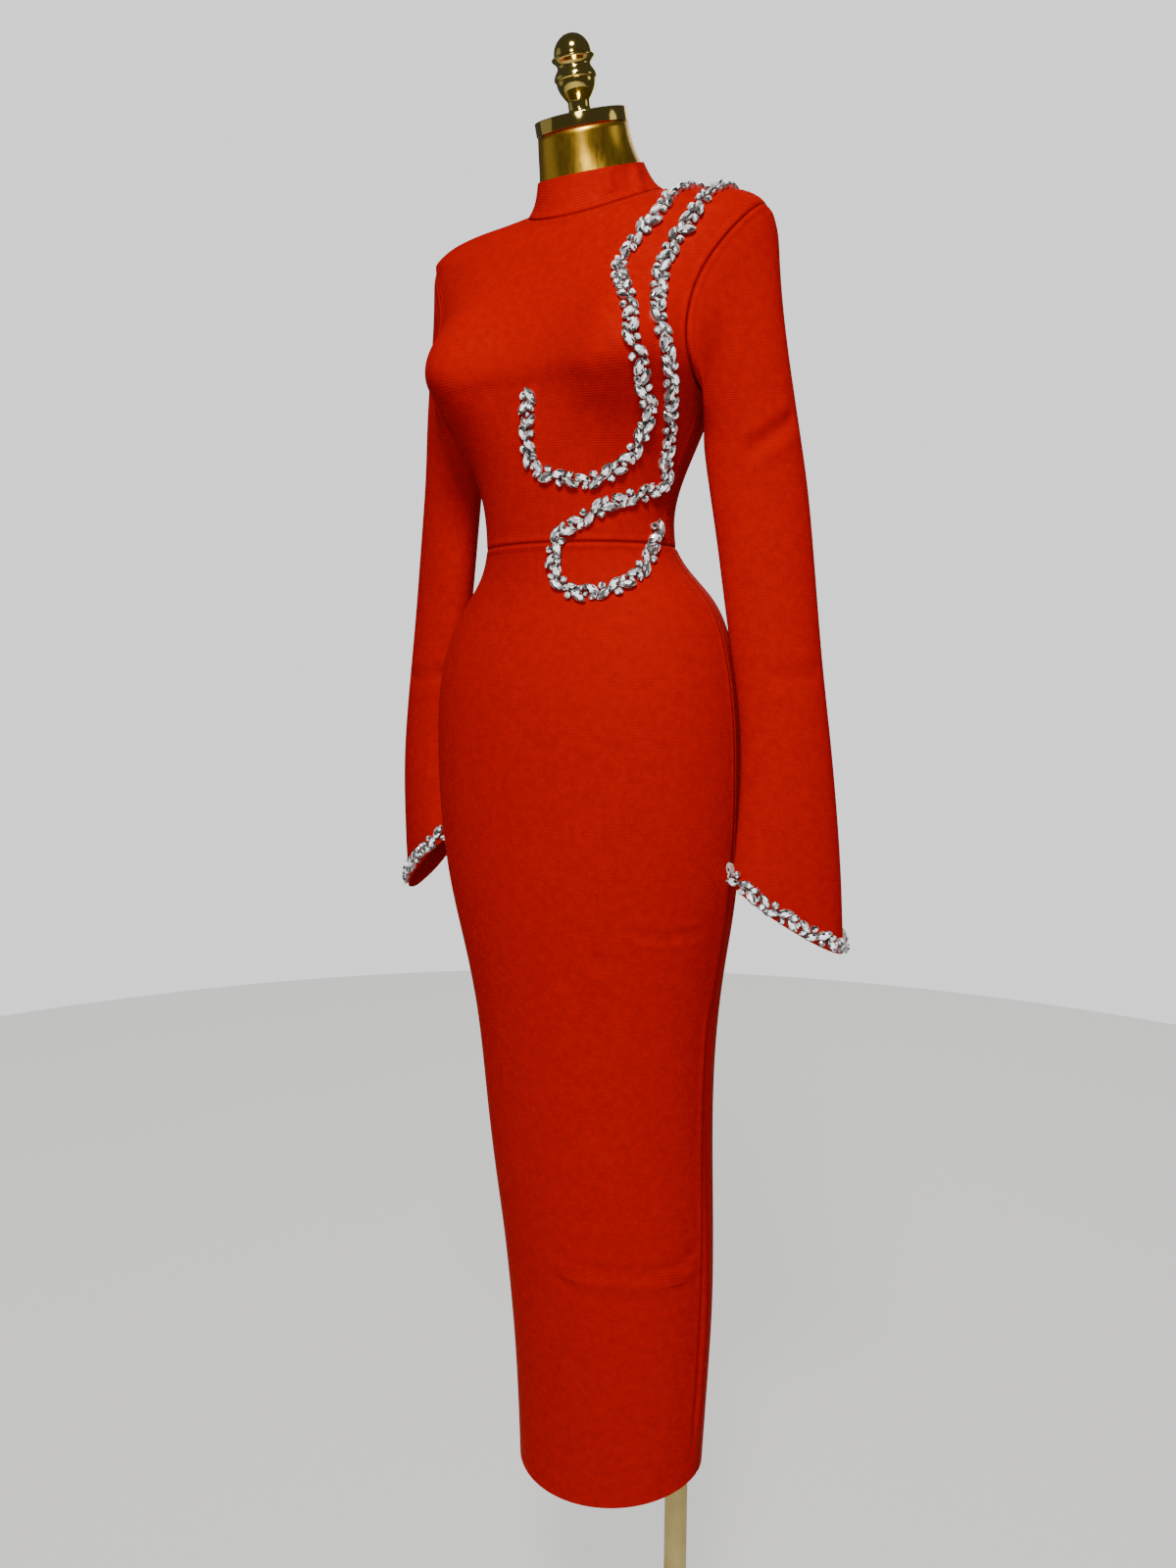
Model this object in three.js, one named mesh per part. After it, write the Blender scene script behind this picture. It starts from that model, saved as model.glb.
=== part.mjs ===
// Long-sleeved bodycon dress on a limbless dress form, with its cap, finial, post and base plate.
// Millimetres, +Z up. The dress faces -Y and the wearer's left is +X. The origin is the centre of
// the base plate's underside, on the floor.
import * as THREE from 'three';

const knit = 1.6;             // thickness of the bandage knit
const seam = 0.3;             // gap that parts two pieces at a seam
const formClearance = 1.0;    // between the inside of the knit and the form
const formInset = knit + formClearance;

const hemLevel = 290;
const waistLevel = 1287;
const armpitLevel = 1428;
const shoulderLevel = 1603;
const neckLevel = 1733;
const collarFoldLevel = 1743;   // where the collar turns up from the shoulders
const collarTopLevel = 1763;
const neckMiddleLevel = 1782;
const capLevel = 1801;
const armholeTurn = 34.5;       // degrees of the figure that the armhole takes to each side
const formBottom = 895;

const rad = THREE.MathUtils.degToRad;
const point = (x, y, z) => new THREE.Vector3(x, y, z);

// Rings of the figure, as the outside of the knit. Level is height at the side up to the shoulder
// point, and from there length along the shoulder seam and up the neck. Each ring is a rounded loop:
// its heights at the side, front and back, how far the left side is lifted and the right side
// dropped, its centre and half width across, and its y at the front, side and back. Square is 2 for
// an ellipse and more for a boxier loop. Fall is 1 for a flat tilted loop and more for one whose
// front and back drop away from a ridge. A row without heights is level, and one without lean, square
// or fall has the values set below the table.
const rings = [
  { level: 290, side: 286, front: 272, back: 290, lean: 12,
    x: 24.5, half: 109, yFront: -64, ySide: 16, yBack: 96 },
  { level: 390, lean: 6, x: 26, half: 113.5, yFront: -70, ySide: 14, yBack: 98 },
  { level: 460, x: 25, half: 118.5, yFront: -75, ySide: 13, yBack: 101 },
  { level: 530, x: 22, half: 122, yFront: -80, ySide: 12, yBack: 104 },
  { level: 600, x: 16, half: 126.5, yFront: -85, ySide: 11, yBack: 107 },
  { level: 665, x: 11, half: 129.5, yFront: -90, ySide: 10, yBack: 110 },
  { level: 730, x: 8, half: 132.5, yFront: -94, ySide: 9, yBack: 112 },
  { level: 800, x: 6, half: 138.5, yFront: -99, ySide: 8, yBack: 115 },
  { level: 868, x: 3, half: 151, yFront: -107, ySide: 6, yBack: 120 },
  { level: 905, x: 1.5, half: 159, yFront: -111, ySide: 4, yBack: 124 },
  { level: 966, x: 0, half: 168.5, yFront: -117, ySide: -1, yBack: 127 },
  { level: 1042, x: 0, half: 173, yFront: -120, ySide: -8, yBack: 128 },
  { level: 1090, x: 0, half: 173, yFront: -121, ySide: -10, yBack: 125 },
  { level: 1123, x: 0, half: 171.5, yFront: -121, ySide: -12, yBack: 121 },
  { level: 1161, x: 0, half: 167, yFront: -117, ySide: -13, yBack: 117 },
  { level: 1198, x: 1, half: 157.5, yFront: -109, ySide: -13, yBack: 110 },
  { level: 1229, x: 3, half: 142.5, yFront: -101, ySide: -10, yBack: 104 },
  { level: 1246, x: 3, half: 128, yFront: -98, ySide: -10, yBack: 93 },
  { level: 1266, x: 1, half: 112, yFront: -98, ySide: -13, yBack: 75 },
  { level: 1283, x: 0, half: 104, yFront: -100, ySide: -18, yBack: 64 },
  { level: 1297, x: 0, half: 101, yFront: -101, ySide: -21, yBack: 59 },
  { level: 1315, x: 0, half: 101, yFront: -104, ySide: -23, yBack: 58 },
  { level: 1335, x: 0, half: 104, yFront: -107, ySide: -23, yBack: 61 },
  { level: 1366, x: 0, half: 115, yFront: -111, ySide: -21, yBack: 69 },
  { level: 1390, x: 0, half: 125, yFront: -114, ySide: -20, yBack: 74, square: 2.1 },
  { level: 1428, x: 0, half: 138, yFront: -114, ySide: -15, yBack: 80, square: 2.3 },
  { level: 1453, x: 0, half: 149, yFront: -118, ySide: -8, yBack: 83, square: 2.6 },
  { level: 1491, x: 0, half: 160, yFront: -101, ySide: -2, yBack: 85, square: 2.4 },
  { level: 1530, side: 1530, front: 1527, back: 1529,
    x: 0, half: 170, yFront: -88, ySide: 0, yBack: 84, square: 2.3 },
  { level: 1560, side: 1560, front: 1549, back: 1555,
    x: 0, half: 179, yFront: -80, ySide: 0, yBack: 81, square: 2.35 },
  { level: 1585, side: 1585, front: 1566, back: 1577,
    x: 0, half: 186, yFront: -74, ySide: 0, yBack: 78, square: 2.25 },
  { level: 1603, side: 1603, front: 1580, back: 1592,
    x: 0, half: 190, yFront: -69, ySide: 0, yBack: 76, square: 2.15 },
  { level: 1628, side: 1619, front: 1589, back: 1606,
    x: 0, half: 170, yFront: -65, ySide: 2, yBack: 75, square: 2.1 },
  { level: 1664, side: 1629, front: 1595, back: 1622,
    x: 0, half: 135, yFront: -63, ySide: 7, yBack: 76, square: 2.05 },
  { level: 1699, side: 1634, front: 1600, back: 1634,
    x: 0, half: 100, yFront: -61.5, ySide: 12, yBack: 77 },
  { level: 1733, side: 1642, front: 1604, back: 1646,
    x: 0, half: 73, yFront: -60, ySide: 16, yBack: 77, fall: 1.2 },
  { level: 1743, side: 1650, front: 1616, back: 1658,
    x: 0, half: 61, yFront: -56.5, ySide: 8, yBack: 66, fall: 1.15 },
  { level: 1763, side: 1664, front: 1644.5, back: 1684,
    x: 0, half: 55, yFront: -53.5, ySide: -3, yBack: 47, fall: 1 },
  { level: 1782, side: 1681, front: 1663, back: 1700,
    x: -1.5, half: 50.5, yFront: -59, ySide: -11, yBack: 36.5, fall: 1 },
  { level: 1801, side: 1699.5, front: 1682, back: 1716.5,
    x: 0, half: 48.5, yFront: -64.5, ySide: -19, yBack: 26, fall: 1 },
];
const figureRings = rings.map((ring) => ({
  side: ring.level, front: ring.level, back: ring.level, lean: 0, square: 2, fall: 1.35, ...ring,
}));

// The rounded bust of the figure, one soft swell to each side.
const bust = { x: 87, level: 1461, out: 36.5, reachAcross: 40, reachUp: 47, reachDown: 37, turn: 27 };

// Smooth curve through a table's rows that never overshoots between them.
function slopeAt(rows, key, column, i) {
  const before = rows[i - 1];
  const here = rows[i];
  const after = rows[i + 1];
  if (!before) return (after[column] - here[column]) / (after[key] - here[key]);
  if (!after) return (here[column] - before[column]) / (here[key] - before[key]);
  const back = (here[column] - before[column]) / (here[key] - before[key]);
  const ahead = (after[column] - here[column]) / (after[key] - here[key]);
  if (back * ahead <= 0) return 0;
  return 2 * back * ahead / (back + ahead);
}

function readTable(rows, key, at) {
  const last = rows.length - 2;
  let i = rows.findIndex((row, n) => n === last || rows[n + 1][key] >= at);
  i = Math.max(0, i);
  const width = rows[i + 1][key] - rows[i][key];
  const t = (at - rows[i][key]) / width;
  const values = {};
  for (const column of Object.keys(rows[0])) {
    const start = rows[i][column];
    const end = rows[i + 1][column];
    const out = slopeAt(rows, key, column, i) * width;
    const into = slopeAt(rows, key, column, i + 1) * width;
    values[column] = start + t * (out + t * (3 * (end - start) - 2 * out - into
      + t * (2 * (start - end) + out + into)));
  }
  return values;
}

// A point of the figure: turn 0 is the centre front, 90 the wearer's left side, 180 the back.
function figure(turn, level) {
  const ring = readTable(figureRings, 'level', level);
  const across = Math.sin(rad(turn));
  const ahead = Math.cos(rad(turn));
  const power = 2 / ring.square;
  const end = ahead > 0 ? ring.yFront : ring.yBack;
  const height = ahead > 0 ? ring.front : ring.back;
  const place = point(
    ring.x + ring.half * Math.sign(across) * Math.abs(across) ** power,
    ring.ySide + (end - ring.ySide) * Math.abs(ahead) ** power,
    ring.side + (height - ring.side) * Math.abs(ahead) ** ring.fall + ring.lean * across,
  );
  if (ahead <= 0) return place;
  for (const side of [-1, 1]) {
    const up = level - bust.level;
    const reach = up > 0 ? bust.reachUp : bust.reachDown;
    const swell = bust.out * Math.exp(-(((place.x - side * bust.x) / bust.reachAcross) ** 2)
      / 2 - (up / reach) ** 2 / 2) * Math.min(1, ahead * 3);
    place.x += side * swell * Math.sin(rad(bust.turn));
    place.y -= swell * Math.cos(rad(bust.turn));
  }
  return place;
}

// The figure moved out along its own normal, or in with a negative distance, and along its surface.
function onFigure(turn, level, out, moveRound = 0, moveUp = 0) {
  const place = figure(turn, level);
  const around = figure(turn + 0.5, level).sub(figure(turn - 0.5, level)).normalize();
  const up = figure(turn, level + 1).sub(figure(turn, level - 1)).normalize();
  const normal = around.clone().cross(up).normalize();
  return place.addScaledVector(around, moveRound).addScaledVector(up, moveUp).addScaledVector(normal, out);
}

const material = (color, roughness, metalness) =>
  new THREE.MeshStandardMaterial({ color, roughness, metalness });
const redKnit = material(0xc41404, 0.8, 0);
const crystal = material(0xd9dce0, 0.15, 0.6);
const satinGold = material(0xc9a878, 0.45, 0.35);
const polishedGold = material(0xd8a760, 0.18, 1);
const zipMetal = material(0xb8201a, 0.4, 0.5);

const garment = new THREE.Group();

function addMesh(name, geometry, look, parent = garment) {
  geometry.computeVertexNormals();
  const mesh = new THREE.Mesh(geometry, look);
  mesh.name = name;
  parent.add(mesh);
  return mesh;
}

function meshFrom(points, triangles) {
  const geometry = new THREE.BufferGeometry();
  const values = points.flatMap((p) => p.toArray());
  geometry.setAttribute('position', new THREE.Float32BufferAttribute(values, 3));
  geometry.setIndex(triangles);
  return geometry;
}

// A cloth wall from two grids of points, outside and inside. Rows run up the piece, and columns run
// round it from front to left. A closed wall joins its last column to its first.
function clothWall(outside, inside, closed, mirrored = false) {
  const rows = outside.length;
  const columns = outside[0].length;
  const points = [...outside.flat(), ...inside.flat()];
  const innerStart = rows * columns;
  const triangles = [];
  const quad = (a, b, c, d) => {
    if (mirrored) triangles.push(a, c, b, a, d, c);
    else triangles.push(a, b, c, a, c, d);
  };
  const at = (row, column) => row * columns + (column % columns);
  const spans = closed ? columns : columns - 1;
  for (let row = 0; row < rows - 1; row += 1) {
    for (let column = 0; column < spans; column += 1) {
      const a = at(row, column);
      const b = at(row, column + 1);
      const c = at(row + 1, column + 1);
      const d = at(row + 1, column);
      quad(a, b, c, d);
      quad(innerStart + a, innerStart + d, innerStart + c, innerStart + b);
    }
  }
  for (let column = 0; column < spans; column += 1) {
    const low = [at(0, column), at(0, column + 1)];
    const high = [at(rows - 1, column), at(rows - 1, column + 1)];
    quad(low[1], low[0], innerStart + low[0], innerStart + low[1]);
    quad(high[0], high[1], innerStart + high[1], innerStart + high[0]);
  }
  if (!closed) {
    for (let row = 0; row < rows - 1; row += 1) {
      const first = [at(row, 0), at(row + 1, 0)];
      const last = [at(row, columns - 1), at(row + 1, columns - 1)];
      quad(first[0], first[1], innerStart + first[1], innerStart + first[0]);
      quad(last[1], last[0], innerStart + last[0], innerStart + last[1]);
    }
  }
  return meshFrom(points, triangles);
}

// A wall on the figure between two edges, each of them a turn for every level. Its edges stay half
// a seam's gap inside them.
function figureWall(levels, rightEdge, leftEdge, steps) {
  const inside = (i, last) => (i === 0 ? seam / 2 : 0) - (i === last ? seam / 2 : 0);
  const grid = (out) => levels.map((level, row) => {
    const from = rightEdge(level);
    const to = leftEdge(level);
    return Array.from({ length: steps + 1 }, (_, i) => onFigure(from + (to - from) * i / steps, level, out,
      inside(i, steps), inside(row, levels.length - 1)));
  });
  return clothWall(grid(0), grid(-knit), false);
}

const armholeMiddle = (armpitLevel + shoulderLevel) / 2;
const armholeHalf = (shoulderLevel - armpitLevel) / 2;

// How far the side edge of a bodice panel stays from the side line, as a turn.
function armholeInset(level) {
  const up = (level - armholeMiddle) / armholeHalf;
  if (Math.abs(up) >= 1) return 0;
  return armholeTurn * Math.sqrt(1 - up * up);
}

const skirtLevels = [hemLevel, 345, 410, 475, 540, 605, 670, 735, 795, 845, 880, 905, 940, 985, 1040,
  1095, 1140, 1180, 1212, 1236, 1254, 1271, waistLevel];
const armholeSteps = 9;
const frontSteps = 2 * armholeSteps;
const backSteps = armholeSteps;
const armholeLevels = Array.from({ length: armholeSteps + 1 }, (_, i) =>
  armholeMiddle - armholeHalf * Math.cos(Math.PI * i / armholeSteps));
const bodiceLevels = [waistLevel, 1310, 1336, 1362, 1385, 1406, ...armholeLevels,
  1628, 1664, 1699, neckLevel];
const collarLevels = [neckLevel, collarFoldLevel, collarTopLevel];

const rightSide = (level) => -90 + armholeInset(level);
const leftSide = (level) => 90 - armholeInset(level);
const leftBack = (level) => 90 + armholeInset(level);
const rightBack = (level) => 270 - armholeInset(level);
const middleBack = () => 180;

addMesh('bodice_front', figureWall(bodiceLevels, rightSide, leftSide, frontSteps), redKnit);
addMesh('bodice_back_left', figureWall(bodiceLevels, leftBack, middleBack, backSteps), redKnit);
addMesh('bodice_back_right', figureWall(bodiceLevels, middleBack, rightBack, backSteps), redKnit);
addMesh('skirt_front', figureWall(skirtLevels, rightSide, leftSide, frontSteps), redKnit);
addMesh('skirt_back_left', figureWall(skirtLevels, leftBack, middleBack, backSteps), redKnit);
addMesh('skirt_back_right', figureWall(skirtLevels, middleBack, rightBack, backSteps), redKnit);
addMesh('collar', figureWall(collarLevels, () => -180, middleBack, 2 * frontSteps), redKnit);

// Sections of the wearer's left sleeve from the armhole to the cuff: the end of the section that
// faces the body, the end that faces out, its half depth, how much of the armhole's curve round the
// chest it still follows, how far its front dips, and the degrees that the right sleeve is turned
// forward at its outer end.
const sections = [
  { step: 0, innerX: 138, innerY: -15, innerZ: 1428,
    outerX: 190, outerY: 0, outerZ: 1603, depth: 52, follow: 1 },
  { step: 1, innerX: 139.4, innerY: -14.5, innerZ: 1423,
    outerX: 196, outerY: 7, outerZ: 1594, depth: 51.5, follow: 0.93 },
  { step: 2, innerX: 139.2, innerY: -14, innerZ: 1418,
    outerX: 198.5, outerY: 12, outerZ: 1577, depth: 49.5, follow: 0.84 },
  { step: 3, innerX: 138.5, innerY: -14, innerZ: 1411,
    outerX: 200, outerY: 12.5, outerZ: 1550, depth: 46, follow: 0.7 },
  { step: 4, innerX: 137, innerY: -14, innerZ: 1405,
    outerX: 204, outerY: 12, outerZ: 1512, depth: 41, follow: 0.52 },
  { step: 5, innerX: 135.5, innerY: -15, innerZ: 1399,
    outerX: 210, outerY: 14, outerZ: 1468, depth: 35, follow: 0.32 },
  { step: 6, innerX: 134.5, innerY: -15, innerZ: 1391,
    outerX: 216, outerY: 19, outerZ: 1425, depth: 30, follow: 0.14 },
  { step: 7, innerX: 134.5, innerY: -15, innerZ: 1378,
    outerX: 221, outerY: 25, outerZ: 1386, depth: 27, follow: 0.03 },
  { step: 8, innerX: 140, innerY: -12.5, innerZ: 1340, outerX: 228, outerY: 28.5, outerZ: 1340, depth: 26 },
  { step: 9, innerX: 148.4, innerY: -10, innerZ: 1288, outerX: 233.6, outerY: 30, outerZ: 1288, depth: 27 },
  { step: 10, innerX: 155.5, innerY: -8.5, innerZ: 1236,
    outerX: 239, outerY: 30.5, outerZ: 1236, depth: 27 },
  { step: 11, innerX: 165, innerY: -8, innerZ: 1177, outerX: 245.5, outerY: 30, outerZ: 1177, depth: 27 },
  { step: 12, innerX: 174.5, innerY: -7, innerZ: 1121, outerX: 253, outerY: 31, outerZ: 1121, depth: 27 },
  { step: 13, innerX: 178, innerY: -9, innerZ: 1064, outerX: 260, outerY: 33, outerZ: 1064, depth: 27 },
  { step: 14, innerX: 177, innerY: -14, innerZ: 1014,
    outerX: 266, outerY: 38, outerZ: 1004, depth: 26, dip: 2, rightTurn: -1 },
  { step: 15, innerX: 176.5, innerY: -19, innerZ: 985,
    outerX: 269, outerY: 41, outerZ: 948, depth: 25, dip: 7, rightTurn: -2.5 },
  { step: 16, innerX: 176.5, innerY: -23, innerZ: 966,
    outerX: 271, outerY: 43, outerZ: 896, depth: 24, dip: 10, rightTurn: -4 },
];
const sleeveSections = sections.map((section) => ({ follow: 0, dip: 0, rightTurn: 0, ...section }));
const sleeveColumns = 2 * armholeSteps;
const sleeveEnd = 16;

const upAxis = point(0, 0, 1);

function flatSection(section, turn, untwist = 0) {
  const inner = point(section.innerX, section.innerY, section.innerZ);
  const outer = point(section.outerX, section.outerY, section.outerZ);
  const half = outer.sub(inner).multiplyScalar(0.5).applyAxisAngle(upAxis, rad(-untwist));
  const ahead = point(half.y, -half.x, 0).normalize().multiplyScalar(section.depth);
  ahead.z = -section.dip;
  return inner.add(half).addScaledVector(half, Math.cos(rad(turn)))
    .addScaledVector(ahead, Math.sin(rad(turn)));
}

// The armhole seam on the figure, a seam's gap inside the edges of the bodice panels.
const armholeGapUp = 0.5;
const armholeGapTurn = 0.7;

function armhole(turn, out = 0) {
  const level = armholeMiddle + (armholeHalf - armholeGapUp) * Math.cos(rad(turn));
  return onFigure(90 - (armholeTurn - armholeGapTurn) * Math.sin(rad(turn)), level, out);
}

// A point of a sleeve: turn 0 is its outer edge, 90 its front, 180 the edge at the body. Both are
// worked out as left sleeves, and the right one is mirrored afterwards.
function sleeve(turn, step, isRight) {
  const section = readTable(sleeveSections, 'step', step);
  const chest = armhole(turn).sub(flatSection(sleeveSections[0], turn));
  return flatSection(section, turn, isRight ? section.rightTurn : 0).addScaledVector(chest, section.follow);
}

// The same point moved out, with the directions round and along the sleeve, all for its own side.
function onSleeve(turn, step, out, isRight) {
  const place = sleeve(turn, step, isRight);
  const around = sleeve(turn + 1, step, isRight).sub(sleeve(turn - 1, step, isRight)).normalize();
  const nearer = sleeve(turn, Math.max(step - 0.1, 0), isRight);
  const along = sleeve(turn, Math.min(step + 0.1, sleeveEnd), isRight).sub(nearer).normalize();
  const normal = step === 0 ? armhole(turn, 1).sub(place) : around.clone().cross(along).normalize();
  place.addScaledVector(normal, out);
  if (isRight) for (const vector of [place, around, along, normal]) vector.x *= -1;
  return { place, around, along, normal };
}

const sleeveSteps = [0, 0.5, 1, 2, 3, 4, 5, 6, 7, 8, 9, 10, 11, 12, 13, 14, 15, sleeveEnd];
for (const [name, isRight] of [['sleeve_left', false], ['sleeve_right', true]]) {
  const grid = (out) => sleeveSteps.map((step) => Array.from({ length: sleeveColumns }, (_, i) =>
    onSleeve(360 * i / sleeveColumns, step, out, isRight).place));
  addMesh(name, clothWall(grid(0), grid(-knit), true, isRight), redKnit);
}

// Crystal vine sewn on the dress: a raised chain with a lump for each cluster of stones.
const vine = { pitch: 22.5, stepsPerCluster: 3, wide: 8.3, narrow: 6.2, high: 5, low: 3.4, lift: 1.2 };

// The outline of the chain across its way, as shares of its half width and its height.
const vineOutline = [
  { across: -1, up: 0 },
  { across: -0.8, up: 0.6 },
  { across: -0.3, up: 1 },
  { across: 0.3, up: 1 },
  { across: 0.8, up: 0.6 },
  { across: 1, up: 0 },
];

// A solid through rings of equal length, closed at its ends unless the last ring meets the first.
function ringSolid(rings, isLoop) {
  const size = rings[0].length;
  const points = rings.flat();
  const triangles = [];
  const spans = isLoop ? rings.length : rings.length - 1;
  for (let row = 0; row < spans; row += 1) {
    const low = row * size;
    const high = ((row + 1) % rings.length) * size;
    for (let i = 0; i < size; i += 1) {
      const j = (i + 1) % size;
      triangles.push(low + i, low + j, high + j, low + i, high + j, high + i);
    }
  }
  if (!isLoop) {
    const top = (rings.length - 1) * size;
    for (let i = 1; i < size - 1; i += 1) {
      triangles.push(0, i + 1, i, top, top + i, top + i + 1);
    }
  }
  return meshFrom(points, triangles);
}

// A chain through stations that each give a place on the cloth, the cloth's normal and the way on.
function vineChain(stations, isLoop) {
  const rings = stations.map(({ place, normal, way }, i) => {
    const swell = i % vine.stepsPerCluster === 0 ? 1 : 0;
    const half = vine.narrow + (vine.wide - vine.narrow) * swell;
    const height = vine.low + (vine.high - vine.low) * swell;
    const across = way.clone().cross(normal).normalize();
    return vineOutline.map((spot) => place.clone().addScaledVector(across, spot.across * half)
      .addScaledVector(normal, vine.lift + spot.up * height));
  });
  return ringSolid(rings, isLoop);
}

// Routes of the two strands on the figure, from just behind the left shoulder seam.
const innerRoute = [
  { turn: 97, level: 1692 }, { turn: 88, level: 1690 }, { turn: 75, level: 1684 },
  { turn: 64, level: 1675 }, { turn: 54, level: 1664 }, { turn: 41, level: 1635 },
  { turn: 33, level: 1612 }, { turn: 29, level: 1596 }, { turn: 25.5, level: 1577 },
  { turn: 23, level: 1556 }, { turn: 23.5, level: 1539 }, { turn: 26, level: 1520 },
  { turn: 30, level: 1500 }, { turn: 34, level: 1479 }, { turn: 38.5, level: 1459 },
  { turn: 44, level: 1439 }, { turn: 49.5, level: 1420 }, { turn: 54, level: 1403 },
  { turn: 54.5, level: 1386 }, { turn: 50.5, level: 1368 }, { turn: 43, level: 1352 },
  { turn: 32, level: 1343.5 }, { turn: 21, level: 1344.5 }, { turn: 9.5, level: 1351 },
  { turn: 1.5, level: 1362 }, { turn: -1.5, level: 1380 }, { turn: -0.5, level: 1400 },
  { turn: 0, level: 1415 }, { turn: 0.5, level: 1429 },
];
const outerRoute = [
  { turn: 98, level: 1656 }, { turn: 88, level: 1654 }, { turn: 78, level: 1648 },
  { turn: 68, level: 1639 }, { turn: 58, level: 1627 }, { turn: 49.5, level: 1612 },
  { turn: 45, level: 1598 }, { turn: 42.5, level: 1584 }, { turn: 40, level: 1569 },
  { turn: 39.5, level: 1554 }, { turn: 39.5, level: 1541 }, { turn: 40, level: 1522 },
  { turn: 42, level: 1500 }, { turn: 46, level: 1477 }, { turn: 53, level: 1455 },
  { turn: 60, level: 1435 }, { turn: 64.5, level: 1418 }, { turn: 68, level: 1399 },
  { turn: 71, level: 1379 }, { turn: 74.5, level: 1362 }, { turn: 76, level: 1350 },
  { turn: 73, level: 1340 }, { turn: 66, level: 1335 }, { turn: 53, level: 1328.5 },
  { turn: 42, level: 1321 }, { turn: 31.5, level: 1312 }, { turn: 21.5, level: 1302 },
  { turn: 12.5, level: 1290 }, { turn: 8.5, level: 1272 }, { turn: 9.5, level: 1252 },
  { turn: 15, level: 1239.5 }, { turn: 24, level: 1237.5 }, { turn: 34.5, level: 1243 },
  { turn: 45, level: 1253 }, { turn: 57.5, level: 1267.5 }, { turn: 69, level: 1284 },
  { turn: 75.5, level: 1299 }, { turn: 78, level: 1308 },
];
const turnLength = 1.9;       // about the length of one degree on the figure
const finePerPoint = 12;

function figureStations(route, pitch) {
  const flat = route.map((spot) => point(spot.turn * turnLength, spot.level, 0));
  const curve = new THREE.CatmullRomCurve3(flat);
  const fine = Array.from({ length: route.length * finePerPoint + 1 }, (_, i) => {
    const spot = curve.getPoint(i / (route.length * finePerPoint));
    const turn = spot.x / turnLength;
    return { turn, level: spot.y, place: figure(turn, spot.y), length: 0 };
  });
  fine.forEach((spot, i) => {
    if (i > 0) spot.length = fine[i - 1].length + spot.place.distanceTo(fine[i - 1].place);
  });
  const whole = fine[fine.length - 1].length;
  const steps = Math.round(whole / pitch);
  const spots = Array.from({ length: steps + 1 }, (_, i) =>
    fine.find((spot) => spot.length >= whole * i / steps - 0.001));
  return spots.map((spot, i) => {
    const before = spots[Math.max(i - 1, 0)].place;
    const after = spots[Math.min(i + 1, steps)].place;
    const normal = onFigure(spot.turn, spot.level, 1).sub(spot.place);
    return { place: spot.place, normal, way: after.clone().sub(before).normalize() };
  });
}

const cuffTrimLift = 0.5;     // more lift than on the body, because the cuff's edge is curled
const cuffTrimUp = 10;        // from the cuff's edge up to the middle of its vine

function cuffStations(isRight) {
  const round = Array.from({ length: 360 }, (_, turn) => {
    const edge = onSleeve(turn, sleeveEnd, 0, isRight).place;
    const stepLength = 2 * edge.distanceTo(onSleeve(turn, sleeveEnd - 0.5, 0, isRight).place);
    return onSleeve(turn, sleeveEnd - cuffTrimUp / stepLength, 0, isRight);
  });
  const onward = (i) => round[i].place.distanceTo(round[(i + 1) % 360].place);
  const lengths = round.map((_, i) => onward(i));
  const whole = lengths.reduce((sum, value) => sum + value, 0);
  const count = Math.round(whole / vine.pitch) * vine.stepsPerCluster;
  const stations = [];
  let length = 0;
  round.forEach(({ place, normal, around }, i) => {
    if (length >= whole * stations.length / count) {
      stations.push({ place: place.addScaledVector(normal, cuffTrimLift), normal, way: around });
    }
    length += lengths[i];
  });
  return stations;
}

const vineStep = vine.pitch / vine.stepsPerCluster;
addMesh('trim_inner', vineChain(figureStations(innerRoute, vineStep), false), crystal);
addMesh('trim_outer', vineChain(figureStations(outerRoute, vineStep), false), crystal);
addMesh('trim_cuff_left', vineChain(cuffStations(false), true), crystal);
addMesh('trim_cuff_right', vineChain(cuffStations(true), true), crystal);

// Dress form: the figure moved in, from its rounded lower edge up to the cut of the neck.
const formFirstRing = 940;       // below it the rings are flat and level
const hipLevels = [formFirstRing, 1040, 1140, 1212, 1236, 1254, 1271];
const neckLevels = [collarFoldLevel, collarTopLevel, neckMiddleLevel, capLevel];
const shoulderInset = 0.8;       // more room under the corner where the shoulder meets the armhole
const formRings = [
  { level: formBottom, inset: 9 },
  { level: 899, inset: 3.5 },
  { level: 907, inset: 0 },
  ...[...hipLevels, ...bodiceLevels, ...neckLevels]
    .map((level) => ({ level, inset: Math.abs(level - shoulderLevel) < 10 ? shoulderInset : 0 })),
];
const formSide = 1.5;         // smallest turn from the side line to the form's first column

// Its columns are the bodice's, so the armholes are closed by flat plates.
function formTurns(level) {
  const side = Math.max(armholeInset(level), formSide);
  const spread = (from, to) => Array.from({ length: frontSteps + 1 }, (_, i) =>
    from + (to - from) * i / frontSteps);
  return [...spread(-90 + side, 90 - side), ...spread(90 + side, 270 - side)];
}

const formPoints = formRings.map(({ level, inset }) => formTurns(level).map((turn) => {
  const place = onFigure(turn, level, -formInset - inset);
  if (level < formFirstRing) place.z = level;
  return place;
}));
addMesh('form_torso', ringSolid(formPoints, false), satinGold);

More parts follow.
